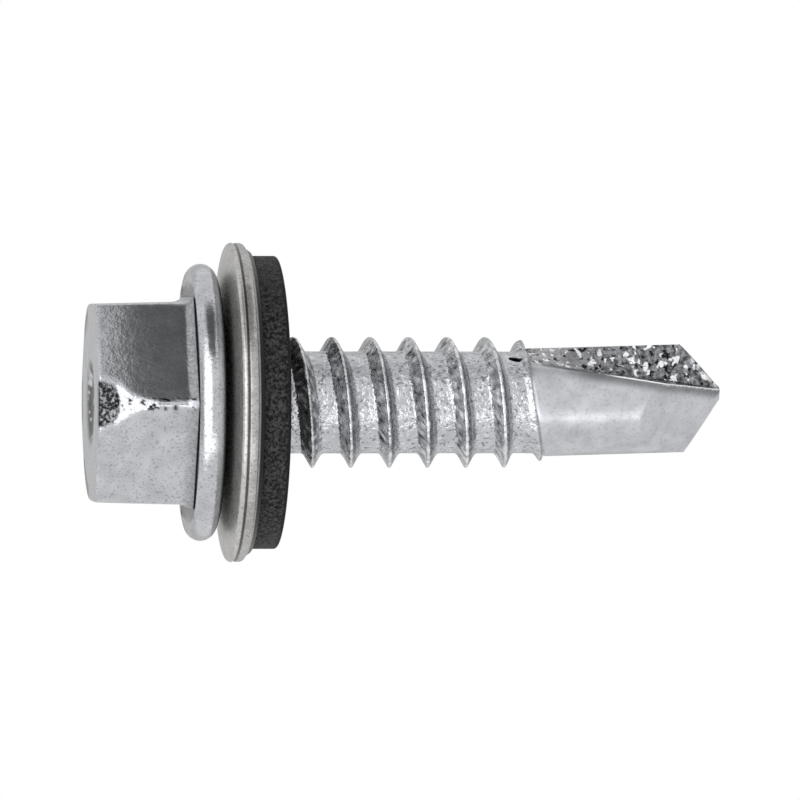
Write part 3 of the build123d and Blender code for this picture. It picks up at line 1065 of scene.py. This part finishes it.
def panel(name, centre, facing, width, tall, material, unseen_by):
    """A rectangle whose own z axis looks along a direction, and whose x axis is level with the
    floor. The named kinds of ray don't see it."""
    facing = Vector(facing).normalized()
    side = Vector((1, 0, 0)) if abs(facing.z) > 0.999 else Vector((-facing.y, facing.x, 0)).normalized()
    corners = [(a * width / 2, b * tall / 2, 0) for a, b in ((-1, -1), (1, -1), (1, 1), (-1, 1))]
    mesh = bpy.data.meshes.new(name)
    mesh.from_pydata(corners, [], [(0, 1, 2, 3)])
    made = bpy.data.objects.new(name, mesh)
    made.matrix_world = matrix_of(side, facing.cross(side), facing, centre)
    bpy.context.scene.collection.objects.link(made)
    made.data.materials.append(material)
    for ray in unseen_by:
        setattr(made, "visible_" + ray, False)


def partly_clear(tree, share, first, second):
    """The material's surface: two shaders mixed by a share."""
    mixed = new_node(tree, "ShaderNodeMixShader", {0: share, 1: first, 2: second}).outputs[0]
    new_node(tree, "ShaderNodeOutputMaterial", {"Surface": mixed})


def floor():
    """Pale floor under the head. It fades out far away, and it isn't there from below."""
    material, tree, place = new_material("floor")
    far = new_node(tree, "ShaderNodeVectorMath", {0: place}, operation="LENGTH").outputs["Value"]
    below = new_node(tree, "ShaderNodeNewGeometry").outputs["Backfacing"]
    gone = worked_out(tree, "MAXIMUM", spread(tree, far, *FLOOR_FADE, 0.0, 1.0), below)
    pale = new_node(tree, "ShaderNodeBsdfDiffuse", {"Color": FLOOR_COLOUR}).outputs[0]
    partly_clear(tree, gone, pale, new_node(tree, "ShaderNodeBsdfTransparent").outputs[0])
    panel("floor", (0, 0, -FLOOR_DROP), (0, 0, 1), FLOOR_SIZE, FLOOR_SIZE, material,
          ("glossy", "shadow", "diffuse"))


def reflector(name, centre, width, tall, level, soft, facing):
    """A panel with soft edges that only the metal sees: a soft box, or a grey side of the room.
    Soft is the shares of the half width and half height over which it fades."""
    material, tree, place = new_material(name)
    parts = new_node(tree, "ShaderNodeSeparateXYZ", {0: place}).outputs
    solid = []
    for part, half, fade in ((parts["X"], width / 2, soft[0]), (parts["Y"], tall / 2, soft[1])):
        off = worked_out(tree, "ABSOLUTE", part)
        solid.append(spread(tree, off, half * (1 - fade), half, 1.0, 0.0,
                            interpolation_type="SMOOTHSTEP"))
    clear = new_node(tree, "ShaderNodeBsdfTransparent").outputs[0]
    glow = new_node(tree, "ShaderNodeEmission", {"Color": WHITE, "Strength": level}).outputs[0]
    partly_clear(tree, worked_out(tree, "MULTIPLY", *solid), clear, glow)
    panel(name, centre, facing, width, tall, material, ("camera", "diffuse", "shadow", "transmission"))


def far_reflector(name, across, around, half_across, half_around, level, soft, distance):
    """A reflector that looks at the screw, given by the directions that it fills, in degrees."""
    toward = direction(across, around) * distance
    tall = 2 * distance * math.tan(math.radians(half_across))
    width = 2 * distance * math.tan(math.radians(half_around))
    centre = MIDDLE + toward
    reflector(name, centre, width, tall, level, (soft, soft), MIDDLE - centre)


def softbox(name, across, around, distance, width, tall, power):
    """A lamp that lights the rubber and the floor. The metal sees the reflectors instead."""
    light = bpy.data.lights.new(name, "AREA")
    light.shape = "RECTANGLE"
    light.size = width
    light.size_y = tall
    light.energy = power
    lamp = bpy.data.objects.new(name, light)
    bpy.context.scene.collection.objects.link(lamp)
    toward = direction(across, around)
    lamp.location = MIDDLE + toward * distance
    lamp.rotation_mode = "QUATERNION"
    lamp.rotation_quaternion = toward.to_track_quat("Z", "Y")
    lamp.visible_glossy = False


def world():
    """Even light from all round. The camera and the metal see plain white."""
    made = bpy.data.worlds.new("studio")
    bpy.context.scene.world = made
    made.use_nodes = True
    tree = made.node_tree
    tree.nodes.clear()
    rays = new_node(tree, "ShaderNodeLightPath").outputs
    seen = worked_out(tree, "MAXIMUM", rays["Is Camera Ray"], rays["Is Glossy Ray"])
    seen = worked_out(tree, "MAXIMUM", seen, rays["Is Transmission Ray"])
    light, white = (
        new_node(tree, "ShaderNodeBackground", {"Color": WHITE, "Strength": strength}).outputs[0]
        for strength in (AMBIENT, 1.0))
    mixed = new_node(tree, "ShaderNodeMixShader", {0: seen, 1: light, 2: white}).outputs[0]
    new_node(tree, "ShaderNodeOutputWorld", {"Surface": mixed})


floor()
world()
for row in FAR_REFLECTORS:
    far_reflector(*row)
# The dark side of the room that the upper face of the hexagon reflects
reflector("dark_over_head", centre=(-0.0098, -0.0085, 0.0050), facing=(0.85, 0.509, -0.132),
          width=0.0118, tall=0.0086, level=0.15, soft=(0.42, 0.22))
for row in SOFTBOXES:
    softbox(*row)

bpy.context.scene.view_settings.view_transform = "Standard"
